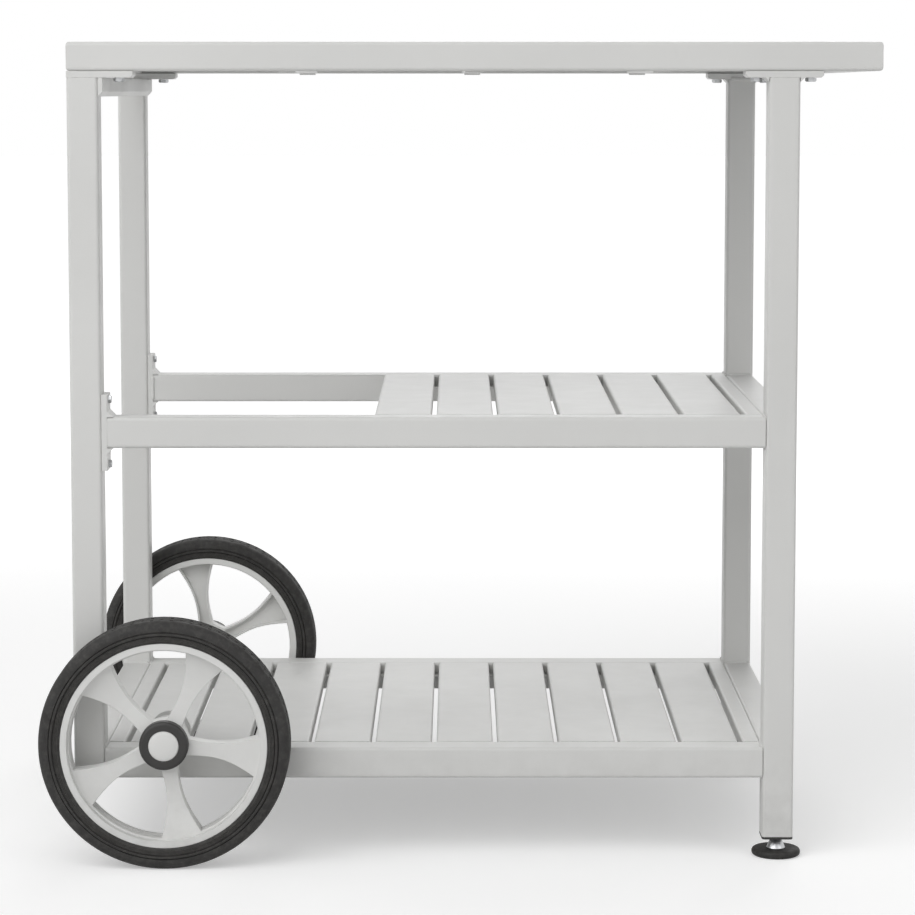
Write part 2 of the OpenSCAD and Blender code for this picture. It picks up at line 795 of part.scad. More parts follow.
module hub_cap() {
    dome_h = 3;
    steps = 6;
    rotate_extrude() polygon(concat(
        [[cap_r - cap_wall, hub_out], [cap_r, hub_out]],
        [for (i = [0:steps]) let (a = 90 * i / steps)
            [cap_r * cos(a), cap_top - dome_h + dome_h * sin(a)]],
        [[0, cap_top - cap_wall], [cap_r - cap_wall - dome_h, cap_top - cap_wall - dome_h / 3],
         [cap_r - cap_wall, cap_top - cap_wall - dome_h]]));
}

module axle_bolt() {
    tip = 1.5;
    translate([0, 0, -leg_tube - head_h(axle_d)])
        cylinder(r = hex_r(axle_d), h = head_h(axle_d), $fn = 6);
    translate([0, 0, -leg_tube]) cylinder(r = axle_r, h = leg_tube + axle_end - tip);
    translate([0, 0, axle_end - tip]) cylinder(r1 = axle_r, r2 = axle_r - tip, h = tip);
}

// Bracket on top of the lower rail: a base and two rounded ears with the axle hole
module bracket_ear(s0) {
    translate([0, 0, s0]) linear_extrude(bracket_t) difference() {
        union() {
            circle(r = bracket_r);
            translate([-bracket_r, -axle_rise]) square([2 * bracket_r, axle_rise]);
        }
        circle(r = axle_r + bolt_fit);
        translate([-bracket_r - 1, -axle_rise - bracket_r])
            square([2 * bracket_r + 2, bracket_r]);
    }
}

module axle_bracket() {
    axle_room = 0.5;
    base_t = min(bracket_t, axle_rise - axle_r - axle_room);
    bracket_ear(-bracket_t);
    bracket_ear(-leg_tube);
    translate([-bracket_r, -axle_rise, -leg_tube + bracket_t])
        cube([2 * bracket_r, base_t, leg_tube - 2 * bracket_t]);
}

module axle_brackets() color(paint_colour) on_both_axles() axle_bracket();
module axle_bolts() color(steel_colour) on_both_axles() axle_bolt();
module axle_spacers() {
    color(steel_colour) on_both_axles() ring(axle_r + fit, axle_r + spacer_wall, 0, wheel_gap);
}
module axle_washers() {
    color(steel_colour) on_both_axles() ring(axle_r + fit, axle_r + washer_w, washer_s, nut_s);
}
module axle_nuts() {
    color(steel_colour) on_both_axles() translate([0, 0, nut_s]) difference() {
        cylinder(r = hex_r(axle_d), h = axle_nut_h, $fn = 6);
        translate([0, 0, -1]) cylinder(r = axle_r + fit, h = axle_nut_h + 2);
    }
}

module front_tyre() color(tyre_colour) on_axle("front") tyre();
module front_rim() color(paint_colour) on_axle("front", front_wheel_turn) rim();
module front_hub_bushes() color(bush_colour) on_axle("front") hub_bushes();
module front_hub_cover() color(black_colour) on_axle("front") hub_cover();
module front_hub_cap() color(paint_colour) on_axle("front") hub_cap();
module rear_tyre() color(tyre_colour) on_axle("rear") tyre();
module rear_rim() color(paint_colour) on_axle("rear", rear_wheel_turn) rim();
module rear_hub_bushes() color(bush_colour) on_axle("rear") hub_bushes();
module rear_hub_cover() color(black_colour) on_axle("rear") hub_cover();
module rear_hub_cap() color(paint_colour) on_axle("rear") hub_cap();

deck_plate();
deck_ledges();
top_cross_rails();
top_front_rail();
top_rear_rail();
top_left_rail();
top_right_rail();
front_left_leg();
rear_left_leg();
front_right_leg();
rear_right_leg();
leg_flanges();
left_tie_bar();
flange_bolts();
flange_rivet_nuts();
mid_front_rail();
mid_rear_rail();
mid_right_rail();
mid_end_plates();
end_plate_bolts();
end_plate_rivet_nuts();
mid_ledges();
mid_end_bar();
mid_slats();
lower_front_rail();
lower_rear_rail();
lower_left_rail();
lower_right_rail();
lower_ledges();
lower_end_bars();
lower_slats();
left_leg_plugs();
right_leg_inserts();
axle_brackets();
axle_bolts();
axle_spacers();
axle_washers();
axle_nuts();
front_tyre();
front_rim();
front_hub_bushes();
front_hub_cover();
front_hub_cap();
rear_tyre();
rear_rim();
rear_hub_bushes();
rear_hub_cover();
rear_hub_cap();
front_foot_pad();
front_foot_stem();
rear_foot_pad();
rear_foot_stem();
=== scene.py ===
"""Looks of the griddle cart: a finish for every carried-over piece, softened edges, weld beads,
treaded tyres, bolts with chamfered heads and threaded feet, on a plain pale floor.
Metres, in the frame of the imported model."""
import json
import math

import bmesh
import bpy
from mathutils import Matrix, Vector


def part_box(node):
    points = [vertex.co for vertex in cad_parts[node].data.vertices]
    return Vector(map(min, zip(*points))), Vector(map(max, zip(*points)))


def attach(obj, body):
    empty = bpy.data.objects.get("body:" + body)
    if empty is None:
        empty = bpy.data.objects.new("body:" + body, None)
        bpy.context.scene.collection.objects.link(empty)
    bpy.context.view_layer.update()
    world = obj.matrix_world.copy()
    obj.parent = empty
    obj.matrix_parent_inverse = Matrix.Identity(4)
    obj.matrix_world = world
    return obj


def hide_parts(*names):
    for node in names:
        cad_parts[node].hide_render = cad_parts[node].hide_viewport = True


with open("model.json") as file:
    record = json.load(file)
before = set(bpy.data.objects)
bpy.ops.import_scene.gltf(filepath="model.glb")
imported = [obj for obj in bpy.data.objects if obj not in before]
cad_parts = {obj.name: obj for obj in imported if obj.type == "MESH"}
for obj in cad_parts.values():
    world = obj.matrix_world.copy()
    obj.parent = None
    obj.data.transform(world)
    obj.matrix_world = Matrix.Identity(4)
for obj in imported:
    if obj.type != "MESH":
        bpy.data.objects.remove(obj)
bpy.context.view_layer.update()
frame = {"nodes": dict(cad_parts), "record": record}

MM = 0.001
NODES = frame["nodes"]
SIDES = ("front", "rear")

# Camera: the eye is level with the underside of the top, well in front of the cart
CAMERA_PLACE = (-0.002, -3.992, 0.942)
CAMERA_PITCH = 5.5
CAMERA_LENS = 120.2
CAMERA_SHIFT_Y = -0.08

# Colours, as linear values
PAINT = (0.72, 0.72, 0.705)
RIM_PAINT = (0.76, 0.76, 0.745)
PRIMER = (0.30, 0.30, 0.29)
STEEL = (0.375, 0.38, 0.385)
PLATING = (0.58, 0.59, 0.60)
BLACK = (0.020, 0.019, 0.018)
RUBBER = (0.030, 0.029, 0.028)
NYLON = (0.70, 0.66, 0.54)
# Dust colour; on the tyres' edges it is also a painted highlight
DUST_AND_HIGHLIGHT = (0.26, 0.25, 0.23)


# Stage
def make_camera():
    """The camera of the main view."""
    data = bpy.data.cameras.new("camera")
    camera = bpy.data.objects.new("camera", data)
    bpy.context.scene.collection.objects.link(camera)
    data.sensor_width = 36
    data.lens = CAMERA_LENS
    data.shift_y = CAMERA_SHIFT_Y
    camera.location = CAMERA_PLACE
    camera.rotation_euler = (math.radians(90 - CAMERA_PITCH), 0, 0)
    bpy.context.scene.camera = camera


def seen_directly(tree, with_transmission):
    """1 for rays from the camera and for reflections, and if asked for rays through glass."""
    path = tree.nodes.new("ShaderNodeLightPath")
    names = ["Is Camera Ray", "Is Glossy Ray"] + ["Is Transmission Ray"] * with_transmission
    result = path.outputs[names[0]]
    for name in names[1:]:
        either = tree.nodes.new("ShaderNodeMath")
        either.operation = "MAXIMUM"
        tree.links.new(result, either.inputs[0])
        tree.links.new(path.outputs[name], either.inputs[1])
        result = either.outputs[0]
    return result


def make_world(ambient=0.26):
    """White to the camera and in reflections, and a dimmer even light otherwise."""
    world = bpy.data.worlds.new("studio")
    bpy.context.scene.world = world
    world.use_nodes = True
    tree = world.node_tree
    tree.nodes.clear()
    strength = tree.nodes.new("ShaderNodeMapRange")
    strength.inputs["To Min"].default_value = ambient
    strength.inputs["To Max"].default_value = 1.0
    tree.links.new(seen_directly(tree, True), strength.inputs["Value"])
    back = tree.nodes.new("ShaderNodeBackground")
    back.inputs["Color"].default_value = (1, 1, 1, 1)
    tree.links.new(strength.outputs["Result"], back.inputs["Strength"])
    out = tree.nodes.new("ShaderNodeOutputWorld")
    tree.links.new(back.outputs[0], out.inputs["Surface"])


def make_floor(reach=40.0, near_glow=0.36, far_glow=0.80):
    """A wide pale floor that turns white away from the cart and keeps the cart's shadow."""
    mesh = bpy.data.meshes.new("floor")
    corners = [(-reach, -reach, 0), (reach, -reach, 0), (reach, reach, 0), (-reach, reach, 0)]
    mesh.from_pydata(corners, [], [(0, 1, 2, 3)])
    floor = bpy.data.objects.new("floor", mesh)
    bpy.context.scene.collection.objects.link(floor)
    material = bpy.data.materials.new("floor")
    material.use_nodes = True
    tree = material.node_tree
    shader = tree.nodes["Principled BSDF"]
    shader.inputs["Base Color"].default_value = (0.80, 0.80, 0.80, 1)
    shader.inputs["Roughness"].default_value = 0.9
    shader.inputs["Specular IOR Level"].default_value = 0.1
    shader.inputs["Emission Color"].default_value = (1, 1, 1, 1)
    place = tree.nodes.new("ShaderNodeTexCoord")
    distance = tree.nodes.new("ShaderNodeVectorMath")
    distance.operation = "LENGTH"
    tree.links.new(place.outputs["Object"], distance.inputs[0])
    glow = tree.nodes.new("ShaderNodeMapRange")
    glow.interpolation_type = "SMOOTHSTEP"
    glow.inputs["From Min"].default_value = 1.2
    glow.inputs["From Max"].default_value = 5.0
    glow.inputs["To Min"].default_value = near_glow
    glow.inputs["To Max"].default_value = far_glow
    tree.links.new(distance.outputs["Value"], glow.inputs["Value"])
    shown = tree.nodes.new("ShaderNodeMath")
    shown.operation = "MULTIPLY"
    tree.links.new(glow.outputs["Result"], shown.inputs[0])
    tree.links.new(seen_directly(tree, False), shown.inputs[1])
    tree.links.new(shown.outputs[0], shader.inputs["Emission Strength"])
    mesh.materials.append(material)


def make_lamp(name, place, size, power, target=(0, 0, 0.5)):
    """A square lamp that faces the target, with its size in metres and its power in watts."""
    data = bpy.data.lights.new(name, "AREA")
    data.shape = "SQUARE"
    data.size = size
    data.energy = power
    lamp = bpy.data.objects.new(name, data)
    bpy.context.scene.collection.objects.link(lamp)
    lamp.location = place
    aim = Vector(target) - Vector(place)
    lamp.rotation_euler = aim.to_track_quat("-Z", "Y").to_euler()


make_camera()
make_world()
make_floor()
make_lamp("key", (-2.6, -3.2, 3.6), 4.8, 165)
make_lamp("fill", (3.4, -2.8, 1.9), 3.0, 32)
make_lamp("back", (0.8, 3.4, 3.2), 3.0, 55)
bpy.context.scene.view_settings.view_transform = "Standard"


# Node materials

# Places of the colour sockets on a mix node, where several sockets share a name
MIX_FIRST = 6
MIX_SECOND = 7
MIX_RESULT = 2


class Surface:
    """A node material with a Principled shader, and short calls for the nodes used here."""

    def __init__(self, name):
        self.material = bpy.data.materials.new(name)
        self.material.use_nodes = True
        self.tree = self.material.node_tree
        self.shader = self.tree.nodes["Principled BSDF"]
        self.place = self.node("ShaderNodeTexCoord").outputs["Object"]

    def node(self, kind, **settings):
        """A new node with these settings."""
        made = self.tree.nodes.new(kind)
        for setting, value in settings.items():
            setattr(made, setting, value)
        return made

    def link(self, source, target):
        self.tree.links.new(source, target)

    def scaled(self, scale):
        """The place on the object, scaled along each axis."""
        mapping = self.node("ShaderNodeMapping")
        mapping.inputs["Scale"].default_value = scale
        self.link(self.place, mapping.inputs["Vector"])
        return mapping.outputs["Vector"]

    def noise(self, scale, detail=3.0, roughness=0.5, stretch=None):
        """Noise between 0 and 1, scaled along each axis if a stretch is given."""
        made = self.node("ShaderNodeTexNoise")
        made.inputs["Scale"].default_value = scale
        made.inputs["Detail"].default_value = detail
        made.inputs["Roughness"].default_value = roughness
        self.link(self.scaled(stretch) if stretch else self.place, made.inputs["Vector"])
        return made.outputs["Fac"]

    def spread(self, value, low, high, to_low=0.0, to_high=1.0):
        """Maps the range from low to high onto another, and holds it at the ends."""
        made = self.node("ShaderNodeMapRange")
        made.inputs["From Min"].default_value = low
        made.inputs["From Max"].default_value = high
        made.inputs["To Min"].default_value = to_low
        made.inputs["To Max"].default_value = to_high
        self.link(value, made.inputs["Value"])
        return made.outputs["Result"]

    def height(self, low, high):
        """1 at and below the height low, falling to 0 at the height high."""
        parts = self.node("ShaderNodeSeparateXYZ")
        self.link(self.place, parts.inputs[0])
        return self.spread(parts.outputs["Z"], low, high, 1.0, 0.0)

    def times(self, value, factor):
        """A value times a number or another value."""
        made = self.node("ShaderNodeMath", operation="MULTIPLY")
        self.link(value, made.inputs[0])
        if isinstance(factor, float):
            made.inputs[1].default_value = factor
        else:
            self.link(factor, made.inputs[1])
        return made.outputs[0]

    def mixed(self, share, first, second):
        """The first colour, going over to the second as the share goes from 0 to 1."""
        made = self.node("ShaderNodeMix", data_type="RGBA")
        self.link(share, made.inputs["Factor"])
        for place, colour in ((MIX_FIRST, first), (MIX_SECOND, second)):
            if isinstance(colour, tuple):
                made.inputs[place].default_value = (*colour, 1.0)
            else:
                self.link(colour, made.inputs[place])
        return made.outputs[MIX_RESULT]

    def rounded(self, radius):
        """The normal of a surface whose edges are rounded to the radius."""
        bevel = self.node("ShaderNodeBevel", samples=4)
        bevel.inputs["Radius"].default_value = radius
        return bevel.outputs["Normal"]

    def edges(self, radius):
        """0 on flat faces, rising to 1 along edges within the radius."""
        geometry = self.node("ShaderNodeNewGeometry")
        dot = self.node("ShaderNodeVectorMath", operation="DOT_PRODUCT")
        self.link(self.rounded(radius), dot.inputs[0])
        self.link(geometry.outputs["Normal"], dot.inputs[1])
        return self.spread(dot.outputs["Value"], 0.995, 0.85)

    def bump(self, height, strength, distance, under=None):
        """A normal bumped by a height, on top of another normal if one is given."""
        made = self.node("ShaderNodeBump")
        made.inputs["Strength"].default_value = strength
        made.inputs["Distance"].default_value = distance
        self.link(height, made.inputs["Height"])
        if under:
            self.link(under, made.inputs["Normal"])
        return made.outputs["Normal"]

    def finish(self, colour, roughness, normal, metallic=0.0, specular=0.5):
        """Links the shader's inputs and gives the finished material."""
        for name, value in (("Base Color", colour), ("Roughness", roughness), ("Normal", normal)):
            self.link(value, self.shader.inputs[name])
        self.shader.inputs["Metallic"].default_value = metallic
        self.shader.inputs["Specular IOR Level"].default_value = specular
        return self.material


def tinted(colour, factor):
    """A colour made lighter or darker."""
    return tuple(channel * factor for channel in colour)


def powder_coat(name, colour, cast=False):
    """Satin powder coat: orange peel, faint clouding, fine speckle, rubbed edges, floor dust.
    On a casting the edges are rounded, and so less rubbed."""
    s = Surface(name)
    clouds = s.spread(s.noise(4.0, 4.0), 0.35, 0.65)
    base = s.mixed(clouds, tinted(colour, 0.96), colour)
    speckle = s.spread(s.noise(420.0, 2.0), 0.68, 0.74)
    base = s.mixed(s.times(speckle, 0.12), base, tinted(colour, 0.72))
    scuffs = s.spread(s.noise(60.0, 6.0, 0.7, (1.0, 1.0, 0.25)), 0.62, 0.74)
    base = s.mixed(s.times(scuffs, 0.16), base, tinted(colour, 0.80))
    rubbed = s.times(s.edges(1.4 * MM), s.spread(s.noise(90.0, 4.0), 0.44, 0.62))
    base = s.mixed(s.times(rubbed, 0.20 if cast else 0.50), base, PRIMER)
    dusty = s.times(s.height(0.02, 0.16), s.spread(s.noise(30.0, 5.0, 0.6), 0.40, 0.70))
    base = s.mixed(s.times(dusty, 0.22), base, DUST_AND_HIGHLIGHT)
    rough = s.spread(s.noise(26.0, 5.0, 0.6), 0.3, 0.7, 0.34, 0.48)
    under = s.rounded(1.6 * MM) if cast else None
    peel = s.bump(s.noise(750.0, 2.0, 0.45), 0.20, 0.3 * MM, under)
    return s.finish(base, rough, peel, specular=0.45)


def brushed_steel(name, colour):
    """Stainless sheet with a lengthwise grain, faint wiping marks and a few fine scratches."""
    s = Surface(name)
    lines = s.noise(1.0, 6.0, 0.8, (3.0, 900.0, 900.0))
    base = s.mixed(s.spread(lines, 0.3, 0.7), tinted(colour, 0.82), colour)
    streaks = s.spread(s.noise(1.0, 5.0, 0.75, (1.2, 130.0, 130.0)), 0.35, 0.65)
    base = s.mixed(s.times(streaks, 0.26), base, tinted(colour, 1.22))
    smears = s.spread(s.noise(3.5, 5.0, 0.6, (1.0, 2.5, 1.0)), 0.48, 0.72)
    base = s.mixed(s.times(smears, 0.20), base, tinted(colour, 0.80))
    scratch = s.spread(s.noise(1.0, 2.0, 0.5, (9.0, 420.0, 40.0)), 0.71, 0.74)
    base = s.mixed(s.times(scratch, 0.25), base, tinted(colour, 1.3))
    rough = s.spread(s.times(lines, streaks), 0.05, 0.55, 0.60, 0.46)
    return s.finish(base, rough, s.bump(lines, 0.14, 0.12 * MM), metallic=1.0)


def plated_steel(name, colour):
    """Zinc-plated hardware with a mottled, dull shine, and edges painted brighter as a highlight.
    """
    s = Surface(name)
    mottle = s.noise(160.0, 4.0, 0.6)
    base = s.mixed(s.spread(mottle, 0.35, 0.65), tinted(colour, 0.80), colour)
    # Painted highlight: every edge is made brighter
    base = s.mixed(s.times(s.edges(0.6 * MM), 0.5), base, tinted(colour, 1.3))
    rough = s.spread(mottle, 0.3, 0.7, 0.28, 0.45)
    return s.finish(base, rough, s.bump(s.noise(900.0), 0.08, 0.1 * MM), metallic=1.0)


def moulded(name, colour):
    """Moulded plastic with a fine grain and lighter rubbed edges."""
    s = Surface(name)
    base = s.mixed(s.spread(s.noise(30.0, 4.0), 0.4, 0.7), colour, tinted(colour, 1.3))
    base = s.mixed(s.times(s.edges(0.9 * MM), 0.35), base, tinted(colour, 2.2))
    rough = s.spread(s.noise(45.0, 4.0), 0.3, 0.7, 0.42, 0.58)
    return s.finish(base, rough, s.bump(s.noise(1500.0, 2.0), 0.22, 0.15 * MM))


def rubber(name, colour):
    """Tyre rubber: dull, faintly mottled, with dust in its low places, and lighter along its
    edges, partly dust and partly a painted highlight.
    """
    s = Surface(name)
    bloom = s.spread(s.noise(140.0, 5.0, 0.6), 0.45, 0.70)
    base = s.mixed(s.times(bloom, 0.10), colour, DUST_AND_HIGHLIGHT)
    # Painted highlight mixed with dust: every edge of the tyre is made lighter
    base = s.mixed(s.times(s.edges(0.8 * MM), 0.20), base, DUST_AND_HIGHLIGHT)
    rough = s.spread(s.noise(60.0, 5.0), 0.3, 0.7, 0.60, 0.80)
    return s.finish(base, rough, s.bump(s.noise(1100.0, 3.0), 0.30, 0.2 * MM), specular=0.35)


MATERIALS = {
    "frame_paint": powder_coat("frame_paint", PAINT),
    "slat_paint": powder_coat("slat_paint", PAINT),
    "rim_metal": powder_coat("rim_metal", RIM_PAINT, cast=True),
    "cap_metal": powder_coat("cap_metal", RIM_PAINT),
    "deck_steel": brushed_steel("deck_steel", STEEL),
    "plated_steel": plated_steel("plated_steel", PLATING),
    "black_plastic": moulded("black_plastic", BLACK),
    "bush_plastic": moulded("bush_plastic", NYLON),
    "tyre_rubber": rubber("tyre_rubber", RUBBER),
    "pad_rubber": rubber("pad_rubber", BLACK),
}
SLOT_OF = {entry["node"]: entry["material_slot"] for entry in frame["record"]["subparts"]}


# Softened edges

# Widths in millimetres for the carried-over pieces, rounded by modifiers alone. The rims have
# none, because their facets are too small for it. Their material rounds them.
EDGE_WIDTHS = {
    "front_rim": 0.0, "rear_rim": 0.0, "front_hub_cover": 0.6, "rear_hub_cover": 0.6,
    "deck_plate": 0.6, "leg_flanges": 0.7, "mid_end_plates": 0.7, "left_tie_bar": 0.7,
    "axle_brackets": 0.8,
}
PLAIN_EDGE = 0.4
WELD_REACH = 0.01 * MM
# Greatest turn across an edge that counts as flat, least one that is rounded, and least one
# that is shaded crisp, in degrees
FLAT_ANGLE = 0.5
ROUND_ANGLE = 35
CRISP_ANGLE = 30


def soften(piece, width):
    """Joins split vertices, then rounds the sharp edges or, without a width, shades them crisp."""
    weld = piece.modifiers.new("weld", "WELD")
    weld.merge_threshold = WELD_REACH
    if width:
        flat = piece.modifiers.new("flat", "DECIMATE")
        flat.decimate_type = "DISSOLVE"
        flat.angle_limit = math.radians(FLAT_ANGLE)
        bevel = piece.modifiers.new("bevel", "BEVEL")
        bevel.width = width
        bevel.segments = 2
        bevel.limit_method = "ANGLE"
        bevel.angle_limit = math.radians(ROUND_ANGLE)
        bevel.use_clamp_overlap = True
    else:
        split = piece.modifiers.new("split", "EDGE_SPLIT")
        split.split_angle = math.radians(CRISP_ANGLE)
        split.use_edge_sharp = False
    shade = piece.modifiers.new("shade", "WEIGHTED_NORMAL")
    shade.keep_sharp = True
    shade.weight = 80


for name, piece in NODES.items():
    piece.data.materials.clear()
    piece.data.materials.append(MATERIALS[SLOT_OF[name]])
    soften(piece, EDGE_WIDTHS.get(name, PLAIN_EDGE) * MM)


# Meshes made here
def new_piece(name, body, slot, vertices, faces, replaces=(), sharp_angle=None):
    """A smooth piece on a body. Edges that turn by more than the sharp angle stay sharp."""
    mesh = bpy.data.meshes.new(name)
    mesh.from_pydata([tuple(v) for v in vertices], [], faces)
    mesh.materials.append(MATERIALS[slot])
    piece = bpy.data.objects.new(name, mesh)
    bpy.context.scene.collection.objects.link(piece)
    cleaner = bmesh.new()
    cleaner.from_mesh(mesh)
    bmesh.ops.recalc_face_normals(cleaner, faces=cleaner.faces)
    cleaner.to_mesh(mesh)
    cleaner.free()
    mesh.shade_smooth()
    if sharp_angle:
        mesh.set_sharp_from_angle(angle=math.radians(sharp_angle))
    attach(piece, body)
    if replaces:
        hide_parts(*replaces)
    return piece


def grid_faces(rings, sides, first=0, closed_rings=False):
    """Quads between rings of equally many points, counted from a first vertex."""
    faces = []
    for r in range(rings if closed_rings else rings - 1):
        a = first + r * sides
        b = first + ((r + 1) % rings) * sides
        for s in range(sides):
            t = (s + 1) % sides
            faces.append((a + s, a + t, b + t, b + s))
    return faces


def capped_faces(rings, sides, first=0):
    """The same with a face over the first and the last ring."""
    last = first + (rings - 1) * sides
    ends = [tuple(range(first, first + sides)), tuple(reversed(range(last, last + sides)))]
    return grid_faces(rings, sides, first) + ends


def islands(node):
    """The lowest and highest corners of each separate solid in a node."""
    mesh = bmesh.new()
    mesh.from_mesh(NODES[node].data)
    bmesh.ops.remove_doubles(mesh, verts=mesh.verts, dist=WELD_REACH)
    boxes = []
    waiting = set(mesh.verts)
    while waiting:
        group = [waiting.pop()]
        for vertex in group:
            for edge in vertex.link_edges:
                other = edge.other_vert(vertex)
                if other in waiting:
                    waiting.remove(other)
                    group.append(other)
        places = [vertex.co for vertex in group]
        boxes.append((Vector(map(min, *places)), Vector(map(max, *places))))
    mesh.free()
    return sorted(boxes, key=lambda box: tuple(round(c, 4) for c in box[0]))


# Tyres
TREAD_BLOCKS = 40
# Where each step of a block lies along its pitch, and which groove is cut there
BLOCK_STEPS = ((0.00, ""), (0.04, "a"), (0.14, "a"), (0.18, ""), (0.34, ""), (0.50, ""),
               (0.54, "b"), (0.64, "b"), (0.68, ""), (0.84, ""))
CROSS_GROOVE = 2.2 * MM
# The ribs that the cross grooves cut, as shares of half the width
OUTER_RIB = (0.40, 0.53)
MIDDLE_RIB = (0.10, 0.30)


def tyre_outline(half_w, outer_r):
    """Half of the section, as radius and height, from the bead over three fine ribs and the
    raised ring to the shoulder and the grooved tread."""
    seat_r = outer_r - 31.4 * MM
    rim_r = outer_r - 26.9 * MM
    ring_r = rim_r + 11.3 * MM
    ring = 1.2 * MM
    shoulder = 10.0 * MM
    side = half_w - ring
    bead = half_w - 7.1 * MM
    points = [(seat_r, bead), (rim_r, bead), (rim_r, half_w - 3.3 * MM),
              (rim_r + 1.0 * MM, half_w - 2.4 * MM), (rim_r + 2.2 * MM, side - 0.6 * MM)]
    for rib in (3.4, 5.0, 6.6):
        for step, rise in ((-0.5, -0.6), (-0.2, 0.1), (0.2, 0.1), (0.5, -0.6)):
            points.append((rim_r + (rib + step) * MM, side + rise * MM))
    for step, rise in ((-2.6, -0.1), (-1.8, -1.3), (-1.3, -1.3), (-0.9, 0.9), (-0.5, 1.0),
                       (0.5, 1.0), (0.9, 0.9), (1.3, -1.3), (1.8, -1.3), (2.6, -0.1)):
        points.append((ring_r + step * ring, side + rise * ring))
    for i in range(9):
        a = math.radians(90 - 90 * i / 8)
        points.append((outer_r - shoulder + shoulder * math.cos(a),
                       side - shoulder + shoulder * math.sin(a)))
    for share, drop in ((0.52, 0.0), (0.41, 0.0), (0.39, 2.4), (0.31, 2.4), (0.29, 0.0),
                        (0.18, 0.0), (0.07, 0.0), (0.05, 2.2)):
        points.append((outer_r - drop * MM, half_w * share))
    return points


def cross_groove(radius, across, groove, outer_r):
    """Depth of the cross grooves: one kind in the outer ribs, one in the middle ones."""
    if radius < outer_r - 2.0 * MM:
        return 0.0
    if groove == "outer" and OUTER_RIB[0] < across < OUTER_RIB[1]:
        return CROSS_GROOVE
    if groove == "middle" and MIDDLE_RIB[0] < across < MIDDLE_RIB[1]:
        return CROSS_GROOVE * 0.7
    return 0.0


def make_tyre(side):
    """A tyre with a grooved tread, whose outer grooves are staggered from side to side."""
    node = side + "_tyre"
    low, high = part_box(node)
    centre = (low + high) / 2
    outer_r = (high.x - low.x) / 2
    half_w = (high.y - low.y) / 2
    half = tyre_outline(half_w, outer_r)
    section = half + [(r, -h) for r, h in reversed(half)]
    vertices = []
    for block in range(TREAD_BLOCKS):
        for share, letter in BLOCK_STEPS:
            angle = 2 * math.pi * (block + share) / TREAD_BLOCKS
            for r, h in section:
                outer_letter = "a" if h > 0 else "b"
                groove = "" if not letter else "outer" if letter == outer_letter else "middle"
                radius = r - cross_groove(r, abs(h) / half_w, groove, outer_r)
                vertices.append((centre.x + radius * math.cos(angle), centre.y + h,
                                 centre.z + radius * math.sin(angle)))
    rings = TREAD_BLOCKS * len(BLOCK_STEPS)
    faces = grid_faces(rings, len(section), closed_rings=True)
    new_piece(node + "_treaded", side + "_wheel", "tyre_rubber", vertices, faces, (node,), 36)


for wheel_side in SIDES:
    make_tyre(wheel_side)


# Weld beads
BEAD = 2.2 * MM
LEG_BEAD = 3.0 * MM
BEAD_SIDES = 8
CORNER = 4 * MM
STITCH = 24 * MM


class Beads:
    """Weld beads on the frame that become one piece."""

    def __init__(self):
        self.vertices = []
        self.faces = []

    def lay(self, path, radius=BEAD):
        """A bead along the straight runs of a path, with a ripple as long as its radius."""
        rings = []
        for start, end in zip(path, path[1:]):
            run = end - start
            count = max(2, round(run.length / (radius / 4)))
            for i in range(count + (end is path[-1])):
                rings.append((start + run * (i / count), run.normalized()))
        first = len(self.vertices)
        travelled = 0.0
        last = rings[0][0]
        for place, along in rings:
            travelled += (place - last).length
            last = place
            across = along.orthogonal().normalized()
            other = along.cross(across)
            size = radius * (0.92 + 0.10 * math.cos(2 * math.pi * travelled / radius))
            for s in range(BEAD_SIDES):
                a = 2 * math.pi * s / BEAD_SIDES
                self.vertices.append(place + (across * math.cos(a) + other * math.sin(a)) * size)
        self.faces += capped_faces(len(rings), BEAD_SIDES, first)

    def straight(self, start, end, radius=BEAD):
        """One straight bead."""
        self.lay([Vector(start), Vector(end)], radius)

    def finish(self, name):
        """Makes the piece."""
        new_piece(name, "frame", "frame_paint", self.vertices, self.faces)


def inner_y(low, high):
    """Where a box at the front or the rear has its face towards the cart's middle."""
    return high.y if low.y < 0 else low.y


def point(axis, along, across, height):
    """A place from its distances along a rail's axis and across it."""
    return Vector((along, across, height) if axis == 0 else (across, along, height))


def rail_beads(beads, node, axis, outer_sign, end, upright):
    """Beads over the top and bottom edges of a rail's end, where it butts against a leg, and
    over its inner edge as well if upright."""
    low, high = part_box(node)
    other = 1 - axis
    place = high[axis] if end > 0 else low[axis]
    outer = (high[other] if outer_sign > 0 else low[other]) - outer_sign * CORNER
    inner = low[other] if outer_sign > 0 else high[other]
    turn = inner + outer_sign * CORNER
    if upright:
        paths = [[(outer, high.z), (turn, high.z), (inner, high.z - CORNER),
                  (inner, low.z + CORNER), (turn, low.z), (outer, low.z)]]
    else:
        paths = [[(outer, z), (turn, z)] for z in (high.z, low.z)]
    for path in paths:
        beads.lay([point(axis, place, across, z) for across, z in path])


def shelf_beads(shelf, ends_left):
    """Beads at a shelf's corners, where a long and a short rail meet at each leg's inner edge."""
    beads = Beads()
    for side, sign in (("front", -1), ("rear", 1)):
        for end in ((-1, 1) if ends_left else (1,)):
            rail_beads(beads, f"{shelf}_{side}_rail", 0, sign, end, True)
    for side, sign in (("left", -1), ("right", 1)):
        node = f"{shelf}_{side}_rail"
        if node in NODES:
            for end in (-1, 1):
                rail_beads(beads, node, 1, sign, end, False)
    beads.finish(f"{shelf}_shelf_welds")


def end_plate_beads():
    """Beads over the inner faces of the end plates' joints with the middle rails."""
    beads = Beads()
    for side in SIDES:
        low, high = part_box(f"mid_{side}_rail")
        inner = inner_y(low, high)
        beads.straight((low.x, inner, low.z + CORNER), (low.x, inner, high.z - CORNER))
    beads.finish("end_plate_welds")


